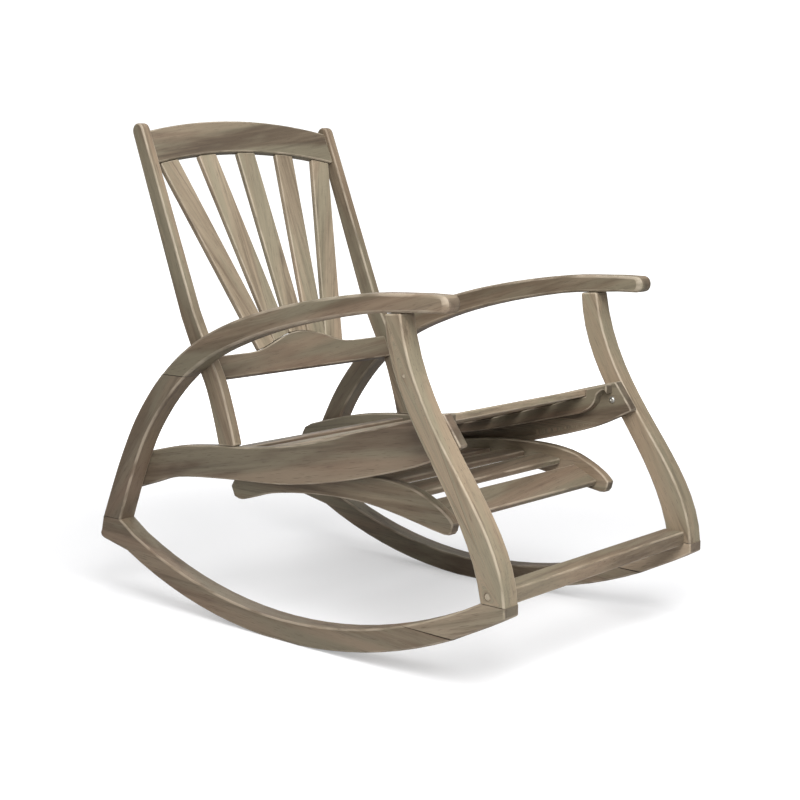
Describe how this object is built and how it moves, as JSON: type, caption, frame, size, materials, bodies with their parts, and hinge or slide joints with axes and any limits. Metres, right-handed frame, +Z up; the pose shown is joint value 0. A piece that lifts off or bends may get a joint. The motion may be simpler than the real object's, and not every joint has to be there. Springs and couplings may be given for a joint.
{
  "type": "rocking chair",
  "caption": "Wooden garden rocking chair with curved hoop arms, slatted scoop seat, fan back and a slatted footrest that slides out from under the seat.",
  "frame": {"origin": "on the floor, under the middle of the chair's width and length", "axes": "+X to the sitter's left, -Y the way the sitter faces, +Z up"},
  "size_m": [0.63, 1.0605, 0.977],
  "materials": {
    "acacia_mid": "weathered, oiled hardwood",
    "acacia_dark": "weathered, oiled hardwood",
    "acacia_pale": "weathered, oiled hardwood",
    "zinc_steel": "dull zinc-plated steel"
  },
  "bodies": {
    "chair": {"arm_left": "acacia_mid", "arm_right": "acacia_mid", "back_dowel_left": "acacia_pale", "back_dowel_right": "acacia_pale", "back_post_left": "acacia_mid", "back_post_right": "acacia_mid", "back_slat_1": "acacia_pale", "back_slat_2": "acacia_pale", "back_slat_3": "acacia_pale", "back_slat_4": "acacia_pale", "back_slat_5": "acacia_pale", "bow_bolt_left": "zinc_steel", "bow_bolt_right": "zinc_steel", "bow_left": "acacia_pale", "bow_right": "acacia_pale", "crest_rail": "acacia_dark", "front_leg_left": "acacia_mid", "front_leg_right": "acacia_mid", "front_stretcher": "acacia_mid", "leg_bolt_left": "zinc_steel", "leg_bolt_right": "zinc_steel", "leg_plug_left": "acacia_pale", "leg_plug_right": "acacia_pale", "lower_back_rail": "acacia_dark", "post_dowel_left": "acacia_pale", "post_dowel_right": "acacia_pale", "rear_seat_rail": "acacia_dark", "rocker_front_left": "acacia_pale", "rocker_front_right": "acacia_pale", "rocker_rear_left": "acacia_mid", "rocker_rear_right": "acacia_mid", "seat_bearer_left": "acacia_mid", "seat_bearer_right": "acacia_mid", "seat_rail_left": "acacia_dark", "seat_rail_right": "acacia_dark", "seat_slat_1": "acacia_pale", "seat_slat_2": "acacia_pale", "seat_slat_3": "acacia_pale", "seat_slat_4": "acacia_pale", "seat_slat_5": "acacia_pale", "seat_slat_6": "acacia_pale"},
    "footrest": {"footrest_rail_left": "acacia_mid", "footrest_rail_right": "acacia_mid", "footrest_rear_rail": "acacia_dark", "footrest_slat_1": "acacia_pale", "footrest_slat_2": "acacia_pale", "footrest_slat_3": "acacia_pale", "footrest_slat_4": "acacia_pale", "guide_pin_front_left": "zinc_steel", "guide_pin_front_right": "zinc_steel", "guide_pin_rear_left": "zinc_steel", "guide_pin_rear_right": "zinc_steel"}
  },
  "joints": [
    {"name": "footrest_slide", "type": "slide", "parent": "chair", "child": "footrest", "axis": [0, -0.9842, 0.1772], "range_m": [0, 0.2]}
  ]
}
